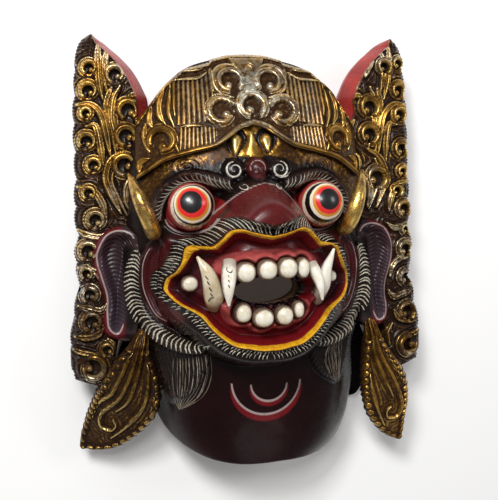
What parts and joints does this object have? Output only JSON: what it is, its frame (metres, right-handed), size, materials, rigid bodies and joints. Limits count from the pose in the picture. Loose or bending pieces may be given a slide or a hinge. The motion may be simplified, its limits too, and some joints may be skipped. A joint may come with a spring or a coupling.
{
  "type": "barong mask",
  "caption": "Carved and gilded wooden mask of a bulging-eyed, fanged mythical beast, with a domed crown, tall side wings, ears and leaf pendants, hollow behind.",
  "frame": {"origin": "centre of the mask's footprint, on the plane of the back rim that it rests on", "axes": "+Z out of the face, +Y up the face towards the crown, +X to the viewer's right; the mask lies on its back, face up"},
  "size_m": [0.2954, 0.3432, 0.1503],
  "materials": {
    "painted_wood": "dark lacquer, red paint and antique gold leaf on carved wood",
    "gilt": "antique gold leaf on wood",
    "ivory": "ivory-white gloss paint on wood"
  },
  "bodies": {
    "root": {"mask": "painted_wood", "horn_left": "gilt", "horn_right": "gilt", "upper_tusk_left": "ivory", "upper_tusk_right": "ivory", "lower_tusk_left": "ivory", "lower_tusk_right": "ivory"}
  },
  "joints": []
}
